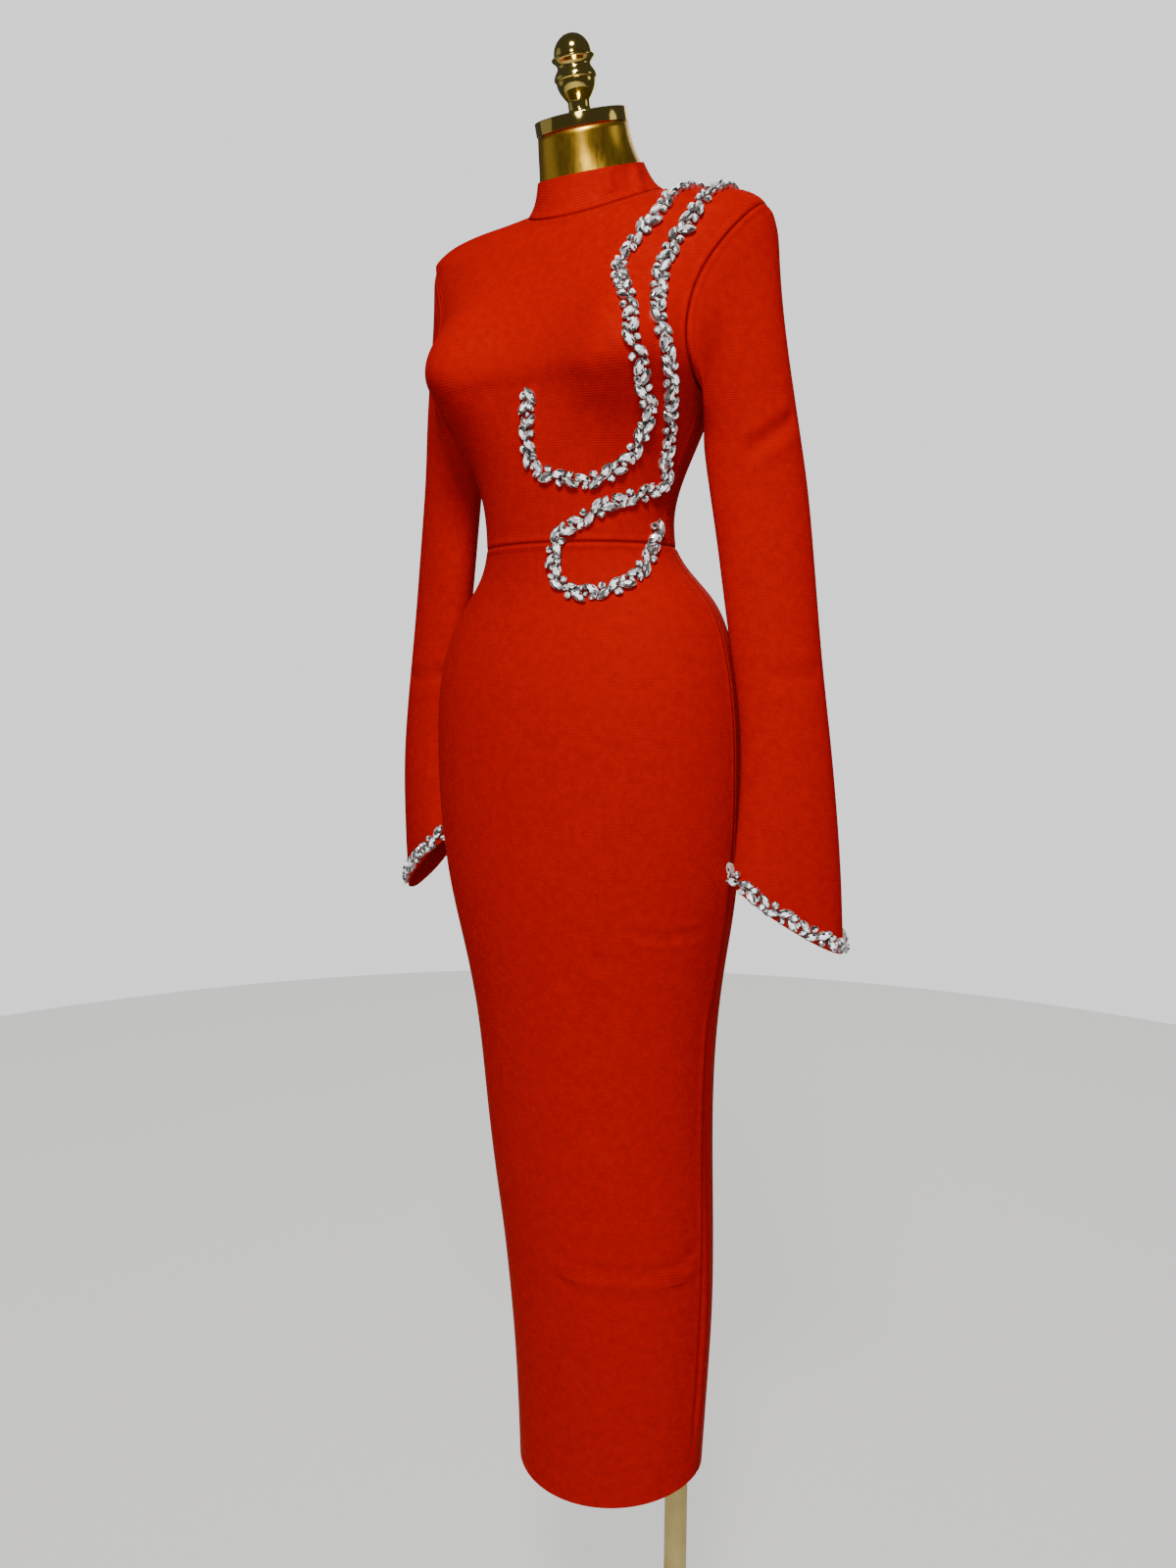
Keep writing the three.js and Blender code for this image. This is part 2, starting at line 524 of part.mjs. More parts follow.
// Cap and turned finial on the sloping cut of the neck. Their profiles are radius and height.
const capTilt = 20.8;
const finialTilt = 17;
const capHeight = 12.7;
const capRadius = 46.5;
const capLift = 0.4;
const capProfile = [
  { radius: 0, height: 0 }, { radius: capRadius, height: 0 }, { radius: capRadius, height: 10.7 },
  { radius: 45.6, height: 12.1 }, { radius: 43.5, height: capHeight }, { radius: 0, height: capHeight },
];
const finialProfile = [
  { radius: 0, height: 0 }, { radius: 14.5, height: 0 }, { radius: 14.8, height: 1.4 },
  { radius: 13, height: 3 }, { radius: 11, height: 5 }, { radius: 11, height: 12.6 },
  { radius: 14, height: 16.2 }, { radius: 17, height: 20.6 }, { radius: 19.2, height: 25.6 },
  { radius: 19.6, height: 29 }, { radius: 21, height: 30.6 }, { radius: 21.3, height: 33.2 },
  { radius: 19.4, height: 37 }, { radius: 16.5, height: 41.6 }, { radius: 17.6, height: 44.6 },
  { radius: 21.2, height: 48 }, { radius: 21.4, height: 49.8 }, { radius: 18.8, height: 51.6 },
  { radius: 18.3, height: 56 }, { radius: 16.9, height: 60 }, { radius: 14.3, height: 64 },
  { radius: 11.2, height: 67 }, { radius: 7.6, height: 69.2 }, { radius: 0, height: 70.7 },
];
const finialStem = 12.6;      // height of its straight stem, which takes up the change of slope

// LatheGeometry turns about +Y, so a turned piece is stood up along +Z.
function turned(name, profile, segments, look) {
  const outline = profile.map(({ radius, height }) => new THREE.Vector2(radius, height));
  const geometry = new THREE.LatheGeometry(outline, segments);
  return addMesh(name, geometry.rotateX(Math.PI / 2), look);
}

const neckRing = readTable(figureRings, 'level', capLevel);
const capAxis = point(0, -Math.sin(rad(capTilt)), Math.cos(rad(capTilt)));
const neckTop = point(0, (neckRing.yFront + neckRing.yBack) / 2, (neckRing.front + neckRing.back) / 2);
const capBase = neckTop.addScaledVector(capAxis, capLift);
const cap = turned('form_cap', capProfile, 32, polishedGold);
cap.position.copy(capBase);
cap.rotation.x = rad(capTilt);
const finial = turned('form_finial', finialProfile, 16, polishedGold);
finial.position.copy(capBase.clone().addScaledVector(capAxis, capHeight + seam));
finial.rotation.x = rad(finialTilt);

// The finial stands a little straighter than the cap, so its foot is cut to the cap's slope.
const footSlope = Math.tan(rad(capTilt - finialTilt));
const finialPoints = finial.geometry.attributes.position;
for (let i = 0; i < finialPoints.count; i += 1) {
  const share = Math.max(0, 1 - finialPoints.getZ(i) / finialStem);
  finialPoints.setZ(i, finialPoints.getZ(i) + finialPoints.getY(i) * footSlope * share);
}
finial.geometry.computeVertexNormals();

// Post and round base plate.
const plate = { radius: 160, thickness: 10 };
const post = { x: 102, y: 30, radius: 12.5, flange: 27 };
const postLength = formBottom - 2 * seam - plate.thickness;
const plateProfile = [
  { radius: 0, height: 0 }, { radius: plate.radius, height: 0 }, { radius: plate.radius, height: 6 },
  { radius: 157, height: 9 }, { radius: 153, height: plate.thickness },
  { radius: 0, height: plate.thickness },
];
const postProfile = [
  { radius: 0, height: 0 }, { radius: post.flange, height: 0 }, { radius: post.flange, height: 3 },
  { radius: 25, height: 5 }, { radius: 14, height: 7 }, { radius: post.radius, height: 9 },
  { radius: post.radius, height: postLength }, { radius: 0, height: postLength },
];
turned('stand_base', plateProfile, 48, satinGold);
turned('stand_post', postProfile, 20, satinGold).position.set(post.x, post.y, plate.thickness + seam);

// Concealed zip at the centre back: the tip of its slider, and the pull tab that hangs from it. Both
// are drawn at the cloth, with u up along the seam and n out of it, and the tab's bar is the hinge.
const zip = { down: 9, width: 2.4, barHeight: 2.2, barHalf: 0.5, barThick: 0.9, tabHalf: 3 };
const sliderOutline = [
  { x: -4.5, y: 0.35 }, { x: 4.5, y: 0.35 }, { x: 4.5, y: 1 }, { x: 2.8, y: 3.7 }, { x: 2.2, y: 4.1 },
  { x: -2.2, y: 4.1 }, { x: -2.8, y: 3.7 }, { x: -4.5, y: 1 },
];
const tunnelOutline = [
  { x: -1.6, y: 1.2 }, { x: -1.6, y: 3.2 }, { x: 1.6, y: 3.2 }, { x: 1.6, y: 1.2 },
];
const tabOutline = [
  { x: -2.6, y: zip.barHalf }, { x: 2.6, y: zip.barHalf }, { x: zip.tabHalf, y: 0 },
  { x: zip.tabHalf, y: -6 }, { x: 2.2, y: -10 }, { x: 2.6, y: -20 }, { x: 1.6, y: -23 },
  { x: -1.6, y: -23 }, { x: -2.6, y: -20 }, { x: -2.2, y: -10 }, { x: -zip.tabHalf, y: -6 },
  { x: -zip.tabHalf, y: 0 },
];
const slotOutline = [
  { x: -1.7, y: -zip.barHalf }, { x: -1.7, y: -4.8 }, { x: 1.7, y: -4.8 }, { x: 1.7, y: -zip.barHalf },
];

function platePiece(outline, hole, thickness) {
  const corners = (list) => list.map(({ x, y }) => new THREE.Vector2(x, y));
  const shape = new THREE.Shape(corners(outline));
  shape.holes.push(new THREE.Path(corners(hole)));
  const geometry = new THREE.ExtrudeGeometry(shape, { depth: thickness, bevelEnabled: false });
  return geometry.translate(0, 0, -thickness / 2);
}

const backSeamTop = figure(180, collarTopLevel);
const zipUp = backSeamTop.clone().sub(figure(180, collarFoldLevel)).normalize();
const zipAcross = point(-1, 0, 0);
const zipOut = zipAcross.clone().cross(zipUp);
const zipPlace = backSeamTop.addScaledVector(zipUp, -zip.down);
const zipFrame = new THREE.Group();
zipFrame.matrixAutoUpdate = false;
zipFrame.matrix.makeBasis(zipAcross, zipUp, zipOut).setPosition(zipPlace);
garment.add(zipFrame);
const slider = platePiece(sliderOutline, tunnelOutline, zip.width);
slider.applyMatrix4(new THREE.Matrix4().makeBasis(point(0, 1, 0), point(0, 0, 1), point(1, 0, 0)));
addMesh('zip_slider', slider, zipMetal, zipFrame);
const tab = platePiece(tabOutline, slotOutline, zip.barThick).translate(0, 0, zip.barHeight);
addMesh('zip_pull', tab, zipMetal, zipFrame);

export default garment;
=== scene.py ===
# A long-sleeved bandage-knit bodycon dress with crystal vine trim, on a dress form.
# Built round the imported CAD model, in metres, +Z up. The dress faces -Y.
import math
import random

import bmesh
import bpy
import numpy as np
from mathutils import Matrix, Vector
from mathutils.bvhtree import BVHTree
from mathutils.kdtree import KDTree


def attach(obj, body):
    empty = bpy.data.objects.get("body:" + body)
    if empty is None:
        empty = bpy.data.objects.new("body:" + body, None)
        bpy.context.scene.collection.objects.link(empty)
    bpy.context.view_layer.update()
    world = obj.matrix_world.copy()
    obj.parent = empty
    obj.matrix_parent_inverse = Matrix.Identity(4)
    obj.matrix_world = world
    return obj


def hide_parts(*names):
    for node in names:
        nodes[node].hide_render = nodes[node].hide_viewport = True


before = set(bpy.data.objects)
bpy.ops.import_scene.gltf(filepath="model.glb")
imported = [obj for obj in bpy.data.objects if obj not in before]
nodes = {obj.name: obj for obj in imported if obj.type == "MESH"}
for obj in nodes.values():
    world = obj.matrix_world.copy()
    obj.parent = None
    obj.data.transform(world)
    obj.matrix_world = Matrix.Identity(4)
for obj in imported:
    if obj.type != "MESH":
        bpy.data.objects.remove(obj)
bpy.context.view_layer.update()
scene = bpy.context.scene
mainBody = "dress_on_form"


# Camera and light

photoCamera = {
    "place": (0.625, -1.0825, 1.170),
    "azimuth": 30.0,  # degrees round from the front, towards the wearer's left
    "pitch": 5.8,  # degrees down
    "roll": 0.39,
    "lens": 27.05,
    "sensor": 36,
    "width": 1200,  # the photograph's size in pixels
    "height": 1600,
}


def photoTurn():
    turn = Matrix.Rotation(math.radians(photoCamera["azimuth"]), 3, "Z")
    turn = turn @ Matrix.Rotation(math.radians(90 - photoCamera["pitch"]), 3, "X")
    return turn @ Matrix.Rotation(math.radians(photoCamera["roll"]), 3, "Z")


def addCamera():
    data = bpy.data.cameras.new("photo_camera")
    data.lens = photoCamera["lens"]
    data.sensor_width = photoCamera["sensor"]
    camera = bpy.data.objects.new("photo_camera", data)
    camera.matrix_world = Matrix.Translation(photoCamera["place"]) @ photoTurn().to_4x4()
    scene.collection.objects.link(camera)
    scene.camera = camera


def photoRay(x, y):  # the line through one pixel of the photograph
    focal = photoCamera["lens"] / photoCamera["sensor"] * photoCamera["height"]
    aim = Vector((x - photoCamera["width"] / 2, photoCamera["height"] / 2 - y, -focal))
    return Vector(photoCamera["place"]), (photoTurn() @ aim).normalized()


studio = {
    "world": (0.80, 0.80, 0.81),
    "worldStrength": 0.07,
    "wallStrength": 1.6,  # how bright the plain wall looks, which lights nothing
    "floor": (0.92, 0.91, 0.89),
    "floorGlow": 0.55,  # share of the floor that looks lit like the wall, and lights nothing
    "floorReach": 3.2,
    "lamps": {
        # name: place, aimed at, size across, power in watts, colour
        "key_lamp": ((0.90, -2.2, 3.5), (0.05, 0, 1.15), 0.8, 92, (1.0, 0.97, 0.93)),
        "front_lamp": ((1.2, -3.0, 1.9), (0.05, 0, 0.8), 0.8, 14, (1.0, 0.97, 0.94)),
        "fill_lamp": ((-2.4, -1.0, 2.0), (0, 0, 1.1), 2.0, 2, (0.94, 0.97, 1.0)),
        "rim_lamp": ((2.4, 0.8, 2.2), (0.1, 0, 1.1), 1.0, 2, (1.0, 0.99, 0.97)),
        "back_lamp": ((-0.4, 2.3, 2.5), (0, 0.5, 0.5), 2.0, 14, (1.0, 0.98, 0.96)),
    },
}


def addStudio():
    world = bpy.data.worlds.new("studio")
    world.use_nodes = True
    tree = world.node_tree
    light = tree.nodes["Background"]
    wall = tree.nodes.new("ShaderNodeBackground")
    for sky, strength in ((light, studio["worldStrength"]), (wall, studio["wallStrength"])):
        sky.inputs["Color"].default_value = (*studio["world"], 1)
        sky.inputs["Strength"].default_value = strength
    seen = tree.nodes.new("ShaderNodeLightPath")
    mix = tree.nodes.new("ShaderNodeMixShader")
    tree.links.new(seen.outputs["Is Camera Ray"], mix.inputs[0])
    tree.links.new(light.outputs[0], mix.inputs[1])
    tree.links.new(wall.outputs[0], mix.inputs[2])
    tree.links.new(mix.outputs[0], tree.nodes["World Output"].inputs["Surface"])
    scene.world = world
    for name, (place, aim, size, power, colour) in studio["lamps"].items():
        data = bpy.data.lights.new(name, "AREA")
        data.shape = "DISK"
        data.size = size
        data.energy = power
        data.color = colour
        lamp = bpy.data.objects.new(name, data)
        lamp.location = place
        lamp.rotation_euler = (Vector(aim) - Vector(place)).to_track_quat("-Z", "Y").to_euler()
        scene.collection.objects.link(lamp)
    bm = bmesh.new()
    bmesh.ops.create_circle(bm, cap_ends=True, segments=96, radius=studio["floorReach"])
    floor = meshPiece("studio_floor", bm)
    paint = bpy.data.materials.new("studio_floor")
    paint.use_nodes = True
    tree = paint.node_tree
    shader = tree.nodes["Principled BSDF"]
    shader.inputs["Base Color"].default_value = (*studio["floor"], 1)
    shader.inputs["Roughness"].default_value = 0.9
    glow = tree.nodes.new("ShaderNodeEmission")
    glow.inputs["Color"].default_value = (*studio["floor"], 1)
    glow.inputs["Strength"].default_value = studio["wallStrength"]
    seen = tree.nodes.new("ShaderNodeLightPath")
    mix = tree.nodes.new("ShaderNodeMixShader")
    share = math2(tree, "MULTIPLY", seen.outputs["Is Camera Ray"], studio["floorGlow"])
    tree.links.new(share, mix.inputs[0])
    tree.links.new(shader.outputs[0], mix.inputs[1])
    tree.links.new(glow.outputs[0], mix.inputs[2])
    tree.links.new(mix.outputs[0], tree.nodes["Material Output"].inputs["Surface"])
    floor.data.materials.append(paint)


# Small helpers

mergeGap = 0.00004  # corners of a CAD mesh closer than this are one


def meshPiece(name, bm, material=None, smooth=True, sharp=None):
    mesh = bpy.data.meshes.new(name)
    bm.to_mesh(mesh)
    bm.free()
    piece = bpy.data.objects.new(name, mesh)
    scene.collection.objects.link(piece)
    if material:
        mesh.materials.append(material)
    if smooth:
        mesh.shade_smooth()
        if sharp:
            mesh.set_sharp_from_angle(angle=math.radians(sharp))
    return piece


def finishPiece(piece, body, slot, *cadNodes):
    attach(piece, body)
    if cadNodes:
        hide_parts(*cadNodes)
    return piece


def nodeMesh(name):  # a merged copy of a CAD node, with its triangles joined to quads
    bm = bmesh.new()
    bm.from_mesh(nodes[name].data)
    bmesh.ops.remove_doubles(bm, verts=bm.verts, dist=mergeGap)
    turnLimit = math.radians(60)
    bmesh.ops.join_triangles(bm, faces=bm.faces, angle_face_threshold=turnLimit,
                             angle_shape_threshold=math.pi)
    return bm


def subdivided(bm, name, levels):  # smooth subdivision, applied
    piece = meshPiece(name + "_rough", bm)
    subsurf = piece.modifiers.new("smooth", "SUBSURF")
    subsurf.levels = levels
    subsurf.render_levels = levels
    subsurf.boundary_smooth = "PRESERVE_CORNERS"
    graph = bpy.context.evaluated_depsgraph_get()
    mesh = bpy.data.meshes.new_from_object(piece.evaluated_get(graph))
    result = bmesh.new()
    result.from_mesh(mesh)
    bpy.data.objects.remove(piece)
    bpy.data.meshes.remove(mesh)
    return result


def coords(verts):
    return np.array([v.co[:] for v in verts])


def normals(verts):
    return np.array([v.normal[:] for v in verts])


def easeStep(value, low, high):
    t = np.clip((value - low) / (high - low), 0, 1)
    return t * t * (3 - 2 * t)


def awayFromPath(points, path):  # distance to a polyline, and the share of its length at that spot
    best = np.full(len(points), 1e9)
    share = np.zeros(len(points))
    steps = np.linalg.norm(np.diff(path, axis=0), axis=1)
    reached = np.concatenate([[0], np.cumsum(steps)])
    for i, step in enumerate(steps):
        along = (path[i + 1] - path[i]) / step
        run = np.clip((points - path[i]) @ along, 0, step)
        off = np.linalg.norm(points - path[i] - run[:, None] * along, axis=1)
        closer = off < best
        best[closer] = off[closer]
        share[closer] = (reached[i] + run[closer]) / reached[-1]
    return best, share


def kdTree(points):
    tree = KDTree(len(points))
    for i, point in enumerate(points):
        tree.insert(point, i)
    tree.balance()
    return tree


def smoothPath(points, steps):  # a Catmull-Rom curve through points
    points = [Vector(p) for p in points]
    ends = [points[0] * 2 - points[1], *points, points[-1] * 2 - points[-2]]
    path = []
    for before, start, end, after in zip(ends, ends[1:], ends[2:], ends[3:]):
        for i in range(steps):
            t = i / steps
            path.append(0.5 * (2 * start + (end - before) * t
                               + (2 * before - 5 * start + 4 * end - after) * t ** 2
                               + (3 * start - before - 3 * end + after) * t ** 3))
    path.append(points[-1])
    return path


# Materials

finishes = {
    # the knit's deep red is its dark end, reached in random bands and in painted shade in rib valleys and
    # seams
    "knit": {"red": (0.67, 0.0012, 0.0002), "deep": (0.36, 0.0004, 0.0001), "ribPitch": 0.0021},
    # crystal facets: dark and light are painted reflections, set facet by facet
    "stone": {"dark": (0.05, 0.045, 0.045), "light": (0.92, 0.92, 0.93),
              # the glow colour of painted glints on the lightest facets
              "paintedGlint": (0.95, 0.95, 0.97)},
    "cup": {"silver": (0.88, 0.87, 0.84), "deep": (0.62, 0.60, 0.57)},
    "satinGold": {"gold": (0.88, 0.52, 0.05), "deep": (0.72, 0.41, 0.035)},
    "polishedGold": {"gold": (0.86, 0.66, 0.17), "deep": (0.74, 0.54, 0.11)},
    "paleGold": {"gold": (0.74, 0.60, 0.25), "deep": (0.60, 0.47, 0.18)},
    "zipRed": {"red": (0.40, 0.012, 0.006), "deep": (0.25, 0.007, 0.004)},
}


def addNode(tree, kind, **values):
    node = tree.nodes.new(kind)
    for name, value in values.items():
        if name in node.bl_rna.properties:
            setattr(node, name, value)
        else:
            node.inputs[name.replace("_", " ")].default_value = value
    return node


def newGroup(name, takes, gives):
    tree = bpy.data.node_groups.new(name, "ShaderNodeTree")
    for label, kind in takes:
        tree.interface.new_socket(label, in_out="INPUT", socket_type=kind)
    for label, kind in gives:
        tree.interface.new_socket(label, in_out="OUTPUT", socket_type=kind)
    return tree, tree.nodes.new("NodeGroupInput"), tree.nodes.new("NodeGroupOutput")


def math2(tree, operation, first, second=None, third=None):
    node = tree.nodes.new("ShaderNodeMath")
    node.operation = operation
    for socket, value in zip(node.inputs, (first, second, third)):
        if value is None:
            continue
        if isinstance(value, (int, float)):
            socket.default_value = value
        else:
            tree.links.new(value, socket)
    return node.outputs[0]


def makeRibGroup():  # horizontal ribs of a bandage knit, from a height that runs up the cloth
    tree, inside, out = newGroup(
        "bandage_ribs",
        [("Height", "NodeSocketFloat"), ("Pitch", "NodeSocketFloat")],
        [("Rib", "NodeSocketFloat"), ("Tone", "NodeSocketFloat")],
    )
    place = addNode(tree, "ShaderNodeTexCoord").outputs["Object"]
    drift = addNode(tree, "ShaderNodeTexNoise", Scale=9.0, Detail=2.0)
    fuzz = addNode(tree, "ShaderNodeTexNoise", Scale=1500.0, Detail=3.0)
    bands = addNode(tree, "ShaderNodeTexNoise", Scale=130.0, Detail=2.0)
    for noise in (drift, fuzz, bands):
        tree.links.new(place, noise.inputs["Vector"])
    wander = math2(tree, "MULTIPLY_ADD", drift.outputs["Fac"], 0.0020, inside.outputs["Height"])
    phase = math2(tree, "DIVIDE", wander, inside.outputs["Pitch"])
    wave = math2(tree, "SINE", math2(tree, "MULTIPLY", phase, math.tau))
    half = math2(tree, "MULTIPLY_ADD", wave, 0.4, 0.5)
    rough = math2(tree, "MULTIPLY_ADD", fuzz.outputs["Fac"], 0.8, half)
    tree.links.new(rough, out.inputs["Rib"])
    # painted shade: the rib wave also darkens the colour in the rib valleys
    paintedRibShade = math2(tree, "MULTIPLY", half, 0.25)
    speckle = math2(tree, "MULTIPLY_ADD", fuzz.outputs["Fac"], 0.35, paintedRibShade)
    tone = math2(tree, "MULTIPLY_ADD", bands.outputs["Fac"], 0.4, speckle)
    tree.links.new(tone, out.inputs["Tone"])
    return tree


def makeGrainGroup():  # fine uneven grain for the form and its metal
    tree, inside, out = newGroup(
        "fine_grain",
        [("Scale", "NodeSocketFloat"), ("Stretch", "NodeSocketFloat")],
        [("Grain", "NodeSocketFloat"), ("Wear", "NodeSocketFloat")],
    )
    place = addNode(tree, "ShaderNodeTexCoord").outputs["Object"]
    squash = addNode(tree, "ShaderNodeCombineXYZ", X=1.0, Y=1.0)
    tree.links.new(inside.outputs["Stretch"], squash.inputs["Z"])
    scaled = addNode(tree, "ShaderNodeVectorMath", operation="MULTIPLY")
    tree.links.new(place, scaled.inputs[0])
    tree.links.new(squash.outputs[0], scaled.inputs[1])
    grain = addNode(tree, "ShaderNodeTexNoise", Detail=4.0)
    wear = addNode(tree, "ShaderNodeTexNoise", Scale=14.0, Detail=5.0, Roughness=0.6)
    tree.links.new(scaled.outputs[0], grain.inputs["Vector"])
    tree.links.new(inside.outputs["Scale"], grain.inputs["Scale"])
    tree.links.new(place, wear.inputs["Vector"])
    tree.links.new(grain.outputs["Fac"], out.inputs["Grain"])
    tree.links.new(wear.outputs["Fac"], out.inputs["Wear"])
    return tree


ribGroup = makeRibGroup()
grainGroup = makeGrainGroup()


def newMaterial(name):
    material = bpy.data.materials.new(name)
    material.use_nodes = True
    return material, material.node_tree, material.node_tree.nodes["Principled BSDF"]


def colourMix(tree, share, first, second):
    ramp = tree.nodes.new("ShaderNodeValToRGB")
    ramp.color_ramp.elements[0].color = (*first, 1)
    ramp.color_ramp.elements[1].color = (*second, 1)
    tree.links.new(share, ramp.inputs["Fac"])
    return ramp


def ranged(tree, value, low, high, toLow, toHigh, smooth=False):
    kind = "SMOOTHSTEP" if smooth else "LINEAR"
    node = addNode(tree, "ShaderNodeMapRange", interpolation_type=kind)
    limits = {"From Min": low, "From Max": high, "To Min": toLow, "To Max": toHigh}
    for label, number in limits.items():
        node.inputs[label].default_value = number
    tree.links.new(value, node.inputs["Value"])
    return node.outputs["Result"]


def bumped(tree, height, strength, distance, under=None):
    bump = addNode(tree, "ShaderNodeBump", Strength=strength, Distance=distance)
    tree.links.new(height, bump.inputs["Height"])
    if under:
        tree.links.new(under, bump.inputs["Normal"])
    return bump.outputs["Normal"]


def makeKnit():
    material, tree, shader = newMaterial("red_bandage_knit")
    look = finishes["knit"]
    ribs = tree.nodes.new("ShaderNodeGroup")
    ribs.node_tree = ribGroup
    ribs.inputs["Pitch"].default_value = look["ribPitch"]
    height = addNode(tree, "ShaderNodeAttribute", attribute_name="ribHeight")
    tree.links.new(height.outputs["Fac"], ribs.inputs["Height"])
    seam = addNode(tree, "ShaderNodeAttribute", attribute_name="seamAway")
    groove = ranged(tree, seam.outputs["Fac"], 0.0, 0.0028, 0.0, 1.0, smooth=True)
    welt = ranged(tree, seam.outputs["Fac"], 0.0032, 0.0090, 0.8, 0.0, smooth=True)
    groove = math2(tree, "ADD", groove, welt)
    # painted shade: the colour darkens towards each seam, into its groove
    near = ranged(tree, seam.outputs["Fac"], 0.0003, 0.0015, 0.35, 1, smooth=True)
    tone = math2(tree, "MULTIPLY", ribs.outputs["Tone"], near)
    # the ramp runs from deep to red across random tone and painted shade
    colour = colourMix(tree, tone, look["deep"], look["red"])
    colour.color_ramp.elements[0].position = 0.12
    colour.color_ramp.elements[1].position = 0.66
    tree.links.new(colour.outputs["Color"], shader.inputs["Base Color"])
    tree.links.new(ranged(tree, ribs.outputs["Rib"], 0, 1, 0.78, 0.62), shader.inputs["Roughness"])
    bump = bumped(tree, ribs.outputs["Rib"], 0.5, 0.0003)
    tree.links.new(bumped(tree, groove, 0.9, 0.0013, bump), shader.inputs["Normal"])
    shader.inputs["Sheen Weight"].default_value = 0.05
    shader.inputs["Sheen Roughness"].default_value = 0.5
    shader.inputs["Sheen Tint"].default_value = (1.0, 0.10, 0.03, 1)
    shader.inputs["Specular IOR Level"].default_value = 0.04
    return material


def makeMetal(name, look, metallic, roughness, scale, stretch, bump):
    material, tree, shader = newMaterial(name)
    grain = tree.nodes.new("ShaderNodeGroup")
    grain.node_tree = grainGroup
    grain.inputs["Scale"].default_value = scale
    grain.inputs["Stretch"].default_value = stretch
    colours = list(look.values())
    colour = colourMix(tree, grain.outputs["Wear"], colours[1], colours[0])
    colour.color_ramp.elements[0].position = 0.25
    colour.color_ramp.elements[1].position = 0.60
    tree.links.new(colour.outputs["Color"], shader.inputs["Base Color"])
    rough = ranged(tree, grain.outputs["Grain"], 0.25, 0.75, roughness * 0.8, roughness * 1.25)
    tree.links.new(rough, shader.inputs["Roughness"])
    tree.links.new(bumped(tree, grain.outputs["Grain"], 0.25, bump), shader.inputs["Normal"])
    shader.inputs["Metallic"].default_value = metallic
    return material


def makeStone():
    material, tree, shader = newMaterial("cut_crystal")
    look = finishes["stone"]
    # painted reflection: each facet's tone runs from dark to light, standing in for what the crystal
    # reflects
    tone = addNode(tree, "ShaderNodeAttribute", attribute_name="facetReflectionTone")
    colour = colourMix(tree, tone.outputs["Fac"], look["dark"], look["light"])
    tree.links.new(colour.outputs["Color"], shader.inputs["Base Color"])
    # painted glints: the lightest facets glow, though no lamp lights them
    paintedGlint = colourMix(tree, tone.outputs["Fac"], (0, 0, 0), look["paintedGlint"])
    paintedGlint.color_ramp.elements[0].position = 0.42
    tree.links.new(paintedGlint.outputs["Color"], shader.inputs["Emission Color"])
    shader.inputs["Emission Strength"].default_value = 1.5
    tree.links.new(ranged(tree, tone.outputs["Fac"], 0, 1, 0.06, 0.14), shader.inputs["Roughness"])
    metallic = ranged(tree, tone.outputs["Fac"], 0.35, 0.9, 0.7, 0.2)
    tree.links.new(metallic, shader.inputs["Metallic"])
    shader.inputs["Coat Weight"].default_value = 0.6
    shader.inputs["Coat Roughness"].default_value = 0.03
    return material


knit = makeKnit()
stone = makeStone()
cup = makeMetal("silver_cups", finishes["cup"], 0.55, 0.28, 400, 1.0, 0.0001)
satinGold = makeMetal("satin_gold_form", finishes["satinGold"], 1.0, 0.30, 260, 0.25, 0.0001)
polishedGold = makeMetal("polished_gold", finishes["polishedGold"], 1.0, 0.10, 120, 1.0, 0.00006)
paleGold = makeMetal("pale_gold_metal", finishes["paleGold"], 0.8, 0.32, 300, 0.05, 0.0001)
zipRed = makeMetal("red_enamelled_zip", finishes["zipRed"], 0.55, 0.34, 500, 1.0, 0.0001)
print("stage: materials made")


# Cloth panels, each from the outer face of its CAD wall

wallLimit = 0.00175  # an edge shorter than this runs through the thickness of a CAD wall
knitThickness = 0.0016
formClearance = 0.0007  # how far a crease over the form may sink in
formBottom = 0.897

